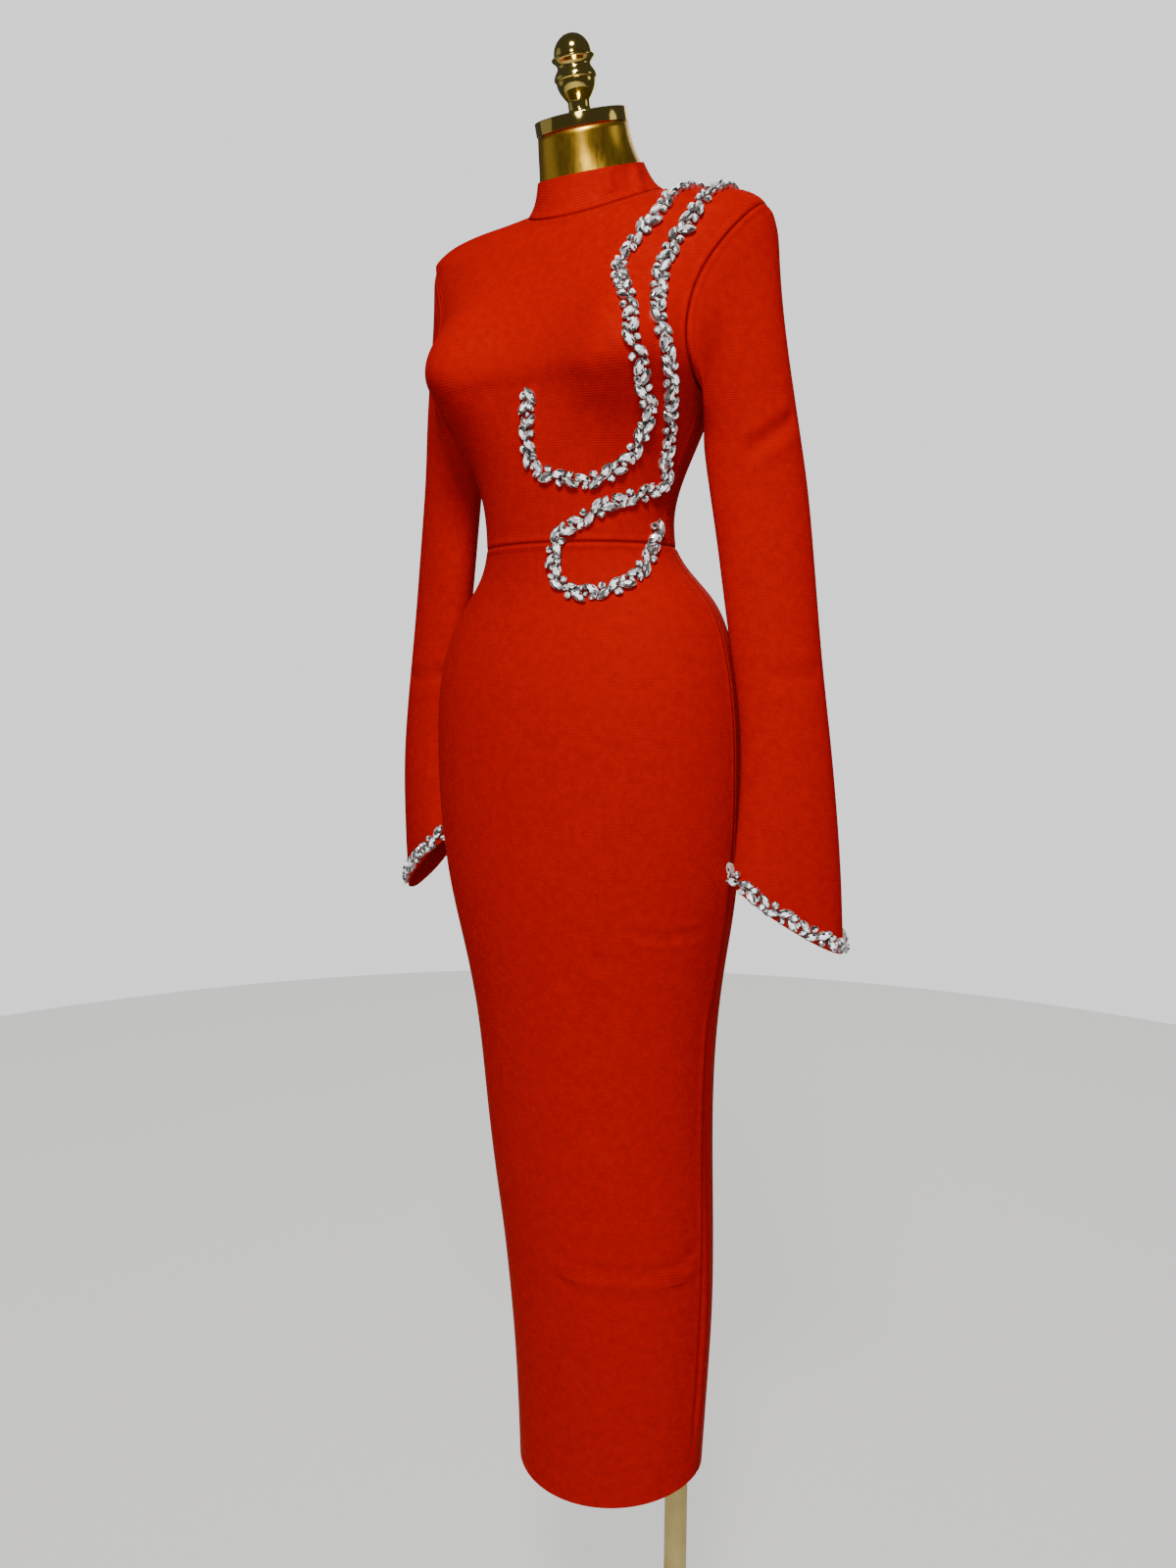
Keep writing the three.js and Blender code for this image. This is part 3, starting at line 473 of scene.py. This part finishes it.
# Creases by pixels of the photograph: width and depth in metres, depth below 0 for a ridge
photoCreases = {
    "skirt_front": [
        {"pixels": [(560, 1286), (572, 1295), (583, 1302), (600, 1308), (636, 1312), (663, 1313),
                    (692, 1303), (718, 1283)], "width": 0.0050, "depth": -0.0046},
        {"pixels": [(583, 1294), (605, 1300), (636, 1304), (663, 1304), (692, 1294), (714, 1277)],
         "width": 0.006, "depth": 0.0018},
        {"pixels": [(731, 1000), (725, 1040), (721, 1095), (719, 1180), (719, 1260), (717, 1340),
                    (711, 1437), (706, 1490)], "width": 0.0042, "depth": 0.0030},
        {"places": [(-0.150, -0.020, 0.86), (-0.139, -0.012, 0.76), (-0.137, -0.008, 0.66),
                    (-0.139, -0.006, 0.52), (-0.136, -0.004, 0.40), (-0.132, -0.004, 0.31)],
         "width": 0.0042, "depth": 0.0030},
        {"pixels": [(640, 945), (648, 951), (660, 956), (678, 957), (697, 955), (719, 951)],
         "width": 0.0045, "depth": 0.0026},
        {"pixels": [(609, 974), (613, 982), (619, 990)], "width": 0.008, "depth": 0.0016},
        {"pixels": [(607, 1000), (607, 1090), (609, 1180)], "width": 0.014, "depth": 0.0024},
    ],
    "skirt_back_left": [
        {"places": [(0.020, 0.130, 0.885), (0.070, 0.120, 0.878), (0.120, 0.070, 0.884)],
         "width": 0.006, "depth": 0.0030},
        {"places": [(0.030, 0.100, 0.470), (0.080, 0.085, 0.455), (0.120, 0.050, 0.468)],
         "width": 0.0055, "depth": -0.0042},
    ],
    "skirt_back_right": [
        {"places": [(-0.025, 0.130, 0.888), (-0.080, 0.115, 0.880), (-0.120, 0.070, 0.886)],
         "width": 0.006, "depth": 0.0028},
        {"places": [(-0.020, 0.100, 0.500), (-0.070, 0.090, 0.482), (-0.115, 0.050, 0.496)],
         "width": 0.0055, "depth": -0.0038},
    ],
    "sleeve_left": [
        {"places": [(0.180, 0.050, 1.215), (0.205, 0.060, 1.203), (0.232, 0.045, 1.212)],
         "width": 0.007, "depth": 0.0028},
        {"pixels": [(812, 427), (806, 430), (790, 441), (772, 455), (760, 462)], "width": 0.007,
         "depth": 0.0036},
        {"pixels": [(742, 688), (780, 692), (820, 690), (838, 686)], "width": 0.008, "depth": 0.0022},
    ],
    "sleeve_right": [
        {"places": [(-0.185, 0.050, 1.225), (-0.208, 0.060, 1.212), (-0.232, 0.045, 1.220)],
         "width": 0.007, "depth": 0.0028},
        {"pixels": [(419, 692), (432, 691), (448, 688), (466, 692)], "width": 0.007, "depth": 0.0028},
    ],
    "collar": [
        {"pixels": [(629, 173), (634, 183), (638, 191), (643, 198)], "width": 0.005, "depth": 0.0007},
        {"pixels": [(617, 174), (620, 186), (623, 198)], "width": 0.006, "depth": -0.0030},
        {"pixels": [(648, 170), (650, 182), (655, 194)], "width": 0.006, "depth": -0.0034},
    ],
}
# How every crease fades at its ends, and the low lip on either side of it, in its own widths
creaseShape = {"fade": 0.12, "lip": 0.35, "lipAway": 2.1, "lipWidth": 0.9}

# Fuller bust than the CAD wall: a soft swell above and one below each of its high points
bustSwells = [
    {"across": 0.084, "level": 1.497, "reach": 0.028, "out": 0.0042},
    {"across": 0.078, "level": 1.432, "reach": 0.026, "out": 0.0060},
]
swellFade = 0.03  # a swell dies out this close to a seam


def splitOuter(bm):  # leaves only the outer face of a wall
    through = [f for f in bm.faces if min(e.calc_length() for e in f.edges) < wallLimit]
    bmesh.ops.delete(bm, geom=through, context="FACES")
    islands = []
    waiting = set(bm.faces)
    while waiting:
        seed = waiting.pop()
        island = [seed]
        reached = [seed]
        while reached:
            for side in reached.pop().edges:
                for face in side.link_faces:
                    if face in waiting:
                        waiting.remove(face)
                        island.append(face)
                        reached.append(face)
        islands.append(island)
    islands.sort(key=lambda faces: -sum(f.calc_area() for f in faces))
    inner = [f for island in islands[1:] for f in island]
    bmesh.ops.delete(bm, geom=inner, context="FACES")
    bmesh.ops.delete(bm, geom=[v for v in bm.verts if not v.link_faces], context="VERTS")


ribTurn = {"low": 1.575, "high": 1.612, "reach": 0.07, "ridge": 0.005}


def bodyHeight(points):  # ribs run level, and on over the shoulders
    y, z = points[:, 1], points[:, 2]
    over = easeStep(z, ribTurn["low"], ribTurn["high"])
    return z + over * (ribTurn["reach"] - np.abs(y - ribTurn["ridge"]))


def alongLine(low, high):
    start, end = np.array(low), np.array(high)
    way = (end - start) / np.linalg.norm(end - start)
    return lambda points: (points - start) @ way


panels = {
    # name: subdivision, flat size and area in metres, how it is held, height for the ribs
    "bodice_front": {"levels": 3, "flat": (0.46, 0.40), "area": 0.12, "held": "stretched",
                     "height": bodyHeight},
    "bodice_back_left": {"levels": 2, "flat": (0.24, 0.38), "area": 0.06, "held": "stretched",
                         "height": bodyHeight},
    "bodice_back_right": {"levels": 2, "flat": (0.24, 0.38), "area": 0.06, "held": "stretched",
                          "height": bodyHeight},
    "skirt_front": {"levels": 3, "flat": (0.46, 1.02), "area": 0.38, "held": "stretched",
                    "height": bodyHeight},
    "skirt_back_left": {"levels": 3, "flat": (0.26, 1.00), "area": 0.2, "held": "stretched",
                        "height": bodyHeight},
    "skirt_back_right": {"levels": 3, "flat": (0.26, 1.00), "area": 0.2, "held": "stretched",
                         "height": bodyHeight},
    "collar": {"levels": 3, "flat": (0.42, 0.05), "area": 0.0145, "held": "stretched",
               "height": alongLine((0, 0, 1.6), (0, -0.5, 2.466))},
    "sleeve_left": {"levels": 3, "flat": (0.32, 0.66), "area": 0.14, "held": "hung",
                    "height": alongLine((0.171, -0.005, 1.45), (0.222, 0.010, 0.93))},
    "sleeve_right": {"levels": 3, "flat": (0.32, 0.66), "area": 0.14, "held": "hung",
                     "height": alongLine((-0.171, -0.005, 1.45), (-0.222, 0.010, 0.93))},
}


def onCloth(tree, x, y):  # where a pixel of the photograph falls on the cloth
    return tree.ray_cast(*photoRay(x, y))[0]


seamReach = 0.0025  # an edge closer than this to another panel's is sewn to it
seamSink = 0.0006
sinkReach = 0.0025  # how far from a seam the cloth sinks towards it
longSeam = {"narrow": 0.55, "low": 0.96, "high": 1.02}  # a skirt's long seams, below the waist's
# The plane of a cuff's edge, for the wearer's left, and how each cuff hangs off it
cuffEdge = {
    "inner": (0.1765, -0.023, 0.966),
    "outer": (0.271, 0.043, 0.896),
    "ahead": 0.024,
    "fall": 0.010,
    "slant": 0.0293,
    "loose": 1.10,
    "firm": 0.985,
}
cuffHang = {
    "sleeve_left": {"drop": 0.009, "tip": 0.0},
    "sleeve_right": {"drop": -0.004, "tip": 0.005},
}


def roughPanels():  # the outer face of every panel, smooth, with its seams drawn together
    shapes = {}
    for name, facts in panels.items():
        bm = nodeMesh(name)
        splitOuter(bm)
        bm = subdivided(bm, name, facts["levels"])
        if name in cuffHang:
            (innerX, innerY, _), (outerX, outerY, _) = cuffEdge["inner"], cuffEdge["outer"]
            for vert in bm.verts:
                share = (abs(vert.co.x) - innerX) / (outerX - innerX)
                back = vert.co.y - innerY - share * (outerY - innerY)
                near = 1 - easeStep(vert.co.z, cuffEdge["firm"], cuffEdge["loose"])
                lift = cuffHang[name]["tip"] * back / cuffEdge["slant"]
                vert.co.z += near * (lift - cuffHang[name]["drop"])
        bm.normal_update()
        shapes[name] = bm
    edges = {name: [v for v in bm.verts if v.is_boundary] for name, bm in shapes.items()}
    moves = []
    sewn = {name: [] for name in shapes}
    for name, rim in edges.items():
        others = [(other, v) for other in shapes if other != name for v in edges[other]]
        tree = kdTree([v.co for _, v in others])
        for vert in rim:
            spot, _, gap = tree.find(vert.co)
            if gap > seamReach:
                continue
            pair = sorted(tree.find_n(vert.co, 2), key=lambda found: found[2])
            first, second = pair[0][0], pair[1][0]
            way = second - first
            share = 0
            if way.length >= 1e-6:
                share = min(max((vert.co - first).dot(way) / way.length_squared, 0), 1)
            moves.append((vert, (vert.co + first + way * share) / 2))
            sewn[name].append(vert.index)
    for vert, place in moves:
        vert.co = place
    for bm in shapes.values():
        bm.normal_update()
    return shapes, sewn


def makePanel(name, bm, sewn):
    facts = panels[name]
    points = coords(bm.verts)
    outward = normals(bm.verts)
    tree = kdTree(points[sewn])
    seamAway = np.array([tree.find(p)[2] for p in points])
    shift = -seamSink * (1 - easeStep(seamAway, 0, sinkReach))
    surface = BVHTree.FromBMesh(bm)
    for crease in photoCreases.get(name, []):
        spots = [onCloth(surface, *pixel) for pixel in crease.get("pixels", [])]
        spots += [surface.find_nearest(Vector(place))[0] for place in crease.get("places", [])]
        path = np.array([p[:] for p in smoothPath([p for p in spots if p], 6)])
        away, share = awayFromPath(points, path)
        fade = easeStep(share, 0, creaseShape["fade"]) * easeStep(1 - share, 0, creaseShape["fade"])
        valley = np.exp(-(away / crease["width"]) ** 2)
        beside = (away / crease["width"] - creaseShape["lipAway"]) / creaseShape["lipWidth"]
        lip = creaseShape["lip"] * np.exp(-beside ** 2)
        shift += crease["depth"] * fade * (lip - valley)
    if name == "bodice_front":
        for swell in bustSwells:
            across = np.abs(points[:, 0]) - swell["across"]
            away = np.hypot(across, points[:, 2] - swell["level"])
            free = easeStep(seamAway, 0, swellFade)
            shift += swell["out"] * np.exp(-(away / swell["reach"]) ** 2) * free
    overForm = (points[:, 2] > formBottom) & (not name.startswith("sleeve"))
    shift[overForm] = np.maximum(shift[overForm], -formClearance)
    for vert, place in zip(bm.verts, points + outward * shift[:, None]):
        vert.co = place
    if name.startswith("skirt"):  # the long seams are broader than the waist's
        below = 1 - easeStep(points[:, 2], longSeam["low"], longSeam["high"])
        seamAway = seamAway * (1 - longSeam["narrow"] * below)
    ribHeight = bm.verts.layers.float.new("ribHeight")
    seamLayer = bm.verts.layers.float.new("seamAway")
    for vert, rib, away in zip(bm.verts, facts["height"](points), seamAway):
        vert[ribHeight] = rib
        vert[seamLayer] = away
    print("stage:", name, "area", round(sum(f.calc_area() for f in bm.faces), 4))
    piece = meshPiece("knit_" + name, bm, knit)
    wall = piece.modifiers.new("wall", "SOLIDIFY")
    wall.thickness = knitThickness
    wall.offset = -1
    graph = bpy.context.evaluated_depsgraph_get()
    mesh = bpy.data.meshes.new_from_object(piece.evaluated_get(graph))
    piece.modifiers.clear()
    piece.data = mesh
    mesh.shade_smooth()
    mesh.set_sharp_from_angle(angle=math.radians(50))
    finishPiece(piece, mainBody, "red_knit", name)
    return piece


shapes, sewn = roughPanels()
cloth = {name: makePanel(name, shapes[name], sewn[name]) for name in panels}
print("stage: cloth made")


# Crystal vine, laid on the cloth along the strands in the photograph

vine = {
    "pitch": 0.0230,  # from one cluster to the next
    "innerPixels": [(708, 187), (698, 191), (687, 199), (680, 208), (671, 219), (664, 228), (654, 238),
                    (645, 251), (637, 263), (633, 275), (634, 286), (639, 300), (643, 322), (645, 348),
                    (653, 372), (656, 395), (661, 417), (655, 441), (643, 463), (626, 480), (604, 489),
                    (583, 489), (561, 484), (545, 473), (539, 452), (540, 430), (539, 413), (541, 397)],
    "outerPixels": [(735, 189), (723, 199), (715, 209), (707, 219), (700, 233), (687, 246), (683, 258),
                    (677, 269), (673, 286), (671, 307), (672, 330), (680, 358), (683, 382), (684, 404),
                    (683, 428), (681, 452), (678, 473), (677, 493), (661, 502), (639, 508), (620, 515),
                    (602, 525), (585, 536), (570, 549), (566, 569), (570, 590), (585, 604), (606, 604),
                    (628, 600), (645, 590), (658, 575), (665, 558), (669, 541), (671, 532)],
    # over the shoulder, seen from above: x and y
    "innerShoulder": [(0.110, 0.018), (0.112, 0.006), (0.114, -0.008)],
    "outerShoulder": [(0.146, 0.014), (0.148, 0.002), (0.149, -0.010)],
    "cuffUp": 0.0075,  # from the cuff's edge to the middle of its vine
}

# One cluster: place along and across the vine, turn in degrees, length, width, and height of the
# widest part, in millimetres. The next cluster is turned half round.
clusterStones = [
    {"along": -6.0, "across": 3.4, "turn": 30, "length": 16.8, "width": 8.6, "up": 3.1},
    {"along": 5.6, "across": -2.6, "turn": -27, "length": 17.2, "width": 8.4, "up": 3.4},
    {"along": -4.8, "across": -4.8, "turn": -20, "length": 7.8, "width": 7.0, "up": 2.7},
    {"along": 4.2, "across": 4.2, "turn": 40, "length": 9.8, "width": 6.6, "up": 2.5},
    {"along": 11.8, "across": 1.4, "turn": 0, "length": 4.4, "width": 4.4, "up": 1.8},
]
# the last entry is the share of facets painted dark, as painted reflection
stoneShape = {"sides": 10, "table": 0.46, "crown": 0.38, "shoulder": 0.82, "rise": 0.20,
              "culet": 0.30, "rim": 1.07, "cupFoot": 0.72, "darkReflectionShare": 0.36}
looseSetting = {"lean": 13, "turn": 9, "grow": (0.92, 1.08)}  # degrees, degrees, share of the size


def pointed(verts, length, width):  # turns a round stone into a marquise
    for vert in verts:
        radius = math.hypot(vert.co.x, vert.co.y) or 1
        across = vert.co.y / radius
        slim = abs(across) ** 0.5 if length > width * 1.15 else 1
        vert.co.x *= length / 2
        vert.co.y *= width / 2 * slim


def addStone(bm, matrix, length, width, tone):
    shape = stoneShape
    size = min(length, width)
    parts = (
        # lower radius, upper radius, lower height, upper height, material, closed, facet tones of painted
        # reflection
        (shape["cupFoot"], shape["rim"], -0.45, 0.06, 1, False, (0, 1)),
        (shape["culet"], 1.0, -0.30, 0.0, 0, False, (0, 1)),
        (1.0, shape["shoulder"], 0.0, shape["rise"], 0, False, (0.05, 0.65)),
        (shape["shoulder"], shape["table"], shape["rise"], shape["crown"], 0, True, (0.35, 1)),
    )
    for low, high, bottom, top, material, closed, tones in parts:
        made = bmesh.ops.create_cone(bm, cap_ends=closed, segments=shape["sides"], radius1=low,
                                     radius2=high, depth=1.0)
        verts = made["verts"]
        faces = dict.fromkeys(f for v in verts for f in v.link_faces)  # in a steady order
        pointed(verts, length, width)
        for vert in verts:
            vert.co.z = (bottom + (vert.co.z + 0.5) * (top - bottom)) * size
        for face in faces:
            face.material_index = material
            # painted reflection: a share of the facets is made dark at random, the rest light
            dark = random.random() < shape["darkReflectionShare"] and len(face.verts) == 4
            face[tone] = random.uniform(0, 0.3) if dark else random.uniform(*tones)
        bmesh.ops.transform(bm, matrix=matrix, verts=verts)


def resample(path, pitch, closed):  # evenly spaced places, and the way on at each
    if closed:
        path = [*path, path[0]]
    steps = [(b - a).length for a, b in zip(path, path[1:])]
    whole = sum(steps)
    count = max(1, round(whole / pitch))
    spots = []
    reached = 0.0
    i = 0
    for n in range(count):
        want = whole * (n + 0.5) / count
        while reached + steps[i] < want:
            reached += steps[i]
            i += 1
        share = (want - reached) / steps[i]
        spots.append((path[i].lerp(path[i + 1], share), (path[i + 1] - path[i]).normalized()))
    return spots


def makeVine(name, path, surface, closed, *cadNodes):
    random.seed(name)
    bm = bmesh.new()
    # each facet's painted reflection tone
    tone = bm.faces.layers.float.new("facetReflectionTone")
    side = 1
    for spot, way in resample(path, vine["pitch"], closed):
        normal = surface.find_nearest(spot)[1]
        across = normal.cross(way).normalized()
        side = -side
        for facts in clusterStones:
            place = spot + (way * facts["along"] + across * facts["across"]) * side * 0.001
            foot, out, _, _ = surface.find_nearest(place)
            onward = (way - out * way.dot(out)).normalized()
            matrix = Matrix((onward, out.cross(onward), out)).transposed().to_4x4()
            matrix.translation = foot + out * facts["up"] * 0.001
            tilt = math.radians(random.uniform(-looseSetting["lean"], looseSetting["lean"]))
            lean = Matrix.Rotation(tilt, 4, random.choice("XY"))
            swing = random.uniform(-looseSetting["turn"], looseSetting["turn"])
            turn = math.radians(facts["turn"] + swing)
            matrix = matrix @ Matrix.Rotation(turn, 4, "Z") @ lean
            grow = random.uniform(*looseSetting["grow"]) * 0.001
            addStone(bm, matrix, facts["length"] * grow, facts["width"] * grow, tone)
    piece = meshPiece(name, bm, stone, smooth=False)
    piece.data.materials.append(cup)
    return finishPiece(piece, mainBody, "crystal", *cadNodes)


def surfaceOf(*names):  # the cloth that a vine lies on
    bm = bmesh.new()
    for name in names:
        bm.from_mesh(cloth[name].data)
    return BVHTree.FromBMesh(bm)


def strandPath(pixels, shoulder, surface):
    down = Vector((0, 0, -1))
    spots = [surface.ray_cast(Vector((x, y, 2)), down)[0] for x, y in shoulder]
    spots += [onCloth(surface, x, y) for x, y in pixels]
    return smoothPath([spot for spot in spots if spot], 8)


def cuffPath(name):  # the line round a sleeve a little above its edge
    bm = bmesh.new()
    bm.from_mesh(cloth[name].data)
    side = 1 if name.endswith("left") else -1
    hang = cuffHang[name]
    inner, outer = (Vector((x * side, y, z - hang["drop"]))
                    for x, y, z in (cuffEdge["inner"], cuffEdge["outer"]))
    across = outer - inner
    ahead = Vector((across.y, -across.x, 0)).normalized() * side * cuffEdge["ahead"]
    ahead.z = -cuffEdge["fall"] - hang["tip"]
    normal = across.cross(ahead).normalized()
    if normal.z < 0:
        normal.negate()
    cut = bmesh.ops.bisect_plane(bm, geom=[*bm.verts, *bm.edges, *bm.faces],
                                 plane_co=inner + normal * vine["cuffUp"], plane_no=normal)
    edges = [g for g in cut["geom_cut"] if isinstance(g, bmesh.types.BMEdge)]
    loops = []
    while edges:
        edge = edges.pop()
        loop = [edge.verts[0], edge.verts[1]]
        while True:
            follow = [e for e in loop[-1].link_edges if e in edges]
            if not follow:
                break
            edges.remove(follow[0])
            loop.append(follow[0].other_vert(loop[-1]))
        loops.append([v.co.copy() for v in loop])
    loops.sort(key=lambda loop: -sum((b - a).length for a, b in zip(loop, loop[1:])))
    bm.free()
    return loops[0][:-1]


front = surfaceOf("bodice_front", "skirt_front", "bodice_back_left")
for strand in ("inner", "outer"):
    path = strandPath(vine[strand + "Pixels"], vine[strand + "Shoulder"], front)
    makeVine("vine_" + strand, path, front, False, "trim_" + strand)
for side in ("left", "right"):
    sleeve = "sleeve_" + side
    makeVine("vine_cuff_" + side, cuffPath(sleeve), surfaceOf(sleeve), True, "trim_cuff_" + side)
print("stage: crystal vine made")


# Dress form and its stand

formFacts = {
    "capFoot": (0, -0.01925, 1.69925),  # middle of the sloping cut of the neck
    "capTilt": 20.8,  # degrees forward
    "capLift": 0.0004,
    "capHeight": 0.0127,
    "finialTilt": 17.0,
    "finialStem": 0.0126,
    "gap": 0.0003,
    "levels": 2,
    "sharpLevel": 1.6,  # above this the torso's sharp edges stay sharp, at the neck's cut
    "postPlace": (0.102, 0.030, 0.0103),
}
# Profiles: radius and height in millimetres, from the foot up
capProfile = [(0, 0), (46.1, 0), (46.5, 0.4), (46.5, 11.6), (46.3, 12.2), (45.7, 12.6), (44.9, 12.7),
              (0, 12.7)]
finialProfile = [(0, 0), (14.5, 0), (14.9, 0.6), (14.8, 1.4), (13.6, 2.4), (11.9, 3.3), (11.1, 4.6),
                 (11, 6), (11, 11.6), (11.4, 12.6), (12.6, 14.0), (14.4, 16.4), (17, 20.4),
                 (18.7, 24.2), (19.5, 27.4), (19.5, 29.3), (20.3, 30.0), (21.1, 31.0), (21.3, 32.4),
                 (21.0, 34.0), (19.6, 36.8), (17.6, 39.6), (16.7, 41.6), (16.9, 43.4), (18.6, 45.8),
                 (20.9, 47.8), (21.5, 48.8), (21.3, 49.9),
                 (19.6, 51.2), (18.8, 51.8), (18.7, 53.2), (18.2, 56.6), (16.9, 60.2), (14.6, 63.8),
                 (11.5, 66.9), (7.8, 69.3), (3.8, 70.5), (0, 70.8)]
postProfile = [(0, 0), (26.4, 0), (27, 0.6), (27, 3), (26.2, 4.2), (24.6, 5.1), (16.5, 6.6), (14, 7.4),
               (12.9, 8.2), (12.5, 9.4), (12.5, 884.4), (0, 884.4)]
plateProfile = [(0, 0), (159.4, 0), (160, 0.6), (160, 5.6), (159.2, 7.8), (157, 9.3), (153.5, 10), (0, 10)]


def lathe(name, profile, place, tilt, steps, material, slot, slope=0, stem=1):  # profile in millimetres
    bm = bmesh.new()
    verts = [bm.verts.new((radius * 0.001, 0, height * 0.001)) for radius, height in profile]
    edges = [bm.edges.new(pair) for pair in zip(verts, verts[1:])]
    bmesh.ops.spin(bm, geom=[*verts, *edges], cent=(0, 0, 0), axis=(0, 0, 1), angle=math.tau,
                   steps=steps, use_merge=True)
    bmesh.ops.remove_doubles(bm, verts=bm.verts, dist=0.000001)
    bmesh.ops.recalc_face_normals(bm, faces=bm.faces)
    for vert in bm.verts:  # a foot cut to a slope
        vert.co.z += vert.co.y * slope * max(0, 1 - vert.co.z / stem)
    turn = Matrix.Translation(place) @ Matrix.Rotation(math.radians(tilt), 4, "X")
    bmesh.ops.transform(bm, matrix=turn, verts=bm.verts)
    piece = meshPiece("turned_" + name, bm, material, sharp=42)
    return finishPiece(piece, mainBody, slot, name)


def makeForm():
    bm = nodeMesh("form_torso")
    crease = bm.edges.layers.float.new("crease_edge")
    for edge in bm.edges:
        bent = len(edge.link_faces) == 2 and edge.calc_face_angle(0) > math.radians(55)
        if bent and edge.verts[0].co.z > formFacts["sharpLevel"]:
            edge[crease] = 1.0
    bm = subdivided(bm, "form_torso", formFacts["levels"])
    piece = meshPiece("smooth_form_torso", bm, satinGold, sharp=50)
    finishPiece(piece, mainBody, "satin_gold", "form_torso")
    tilt = math.radians(formFacts["capTilt"])
    axis = Vector((0, -math.sin(tilt), math.cos(tilt)))
    foot = Vector(formFacts["capFoot"]) + axis * formFacts["capLift"]
    lathe("form_cap", capProfile, foot, formFacts["capTilt"], 72, polishedGold, "polished_gold")
    foot = foot + axis * (formFacts["capHeight"] + formFacts["gap"])
    slope = math.tan(math.radians(formFacts["capTilt"] - formFacts["finialTilt"]))
    lathe("form_finial", finialProfile, foot, formFacts["finialTilt"], 56, polishedGold,
          "polished_gold", slope, formFacts["finialStem"])
    lathe("stand_base", plateProfile, (0, 0, 0), 0, 96, paleGold, "pale_gold_metal")
    lathe("stand_post", postProfile, formFacts["postPlace"], 0, 48, paleGold, "pale_gold_metal")


makeForm()
print("stage: form and stand made")


# Zip slider and pull tab keep their CAD shape
for name in ("zip_slider", "zip_pull"):
    nodes[name].data.materials.clear()
    nodes[name].data.materials.append(zipRed)

addCamera()
addStudio()
print("stage: done")
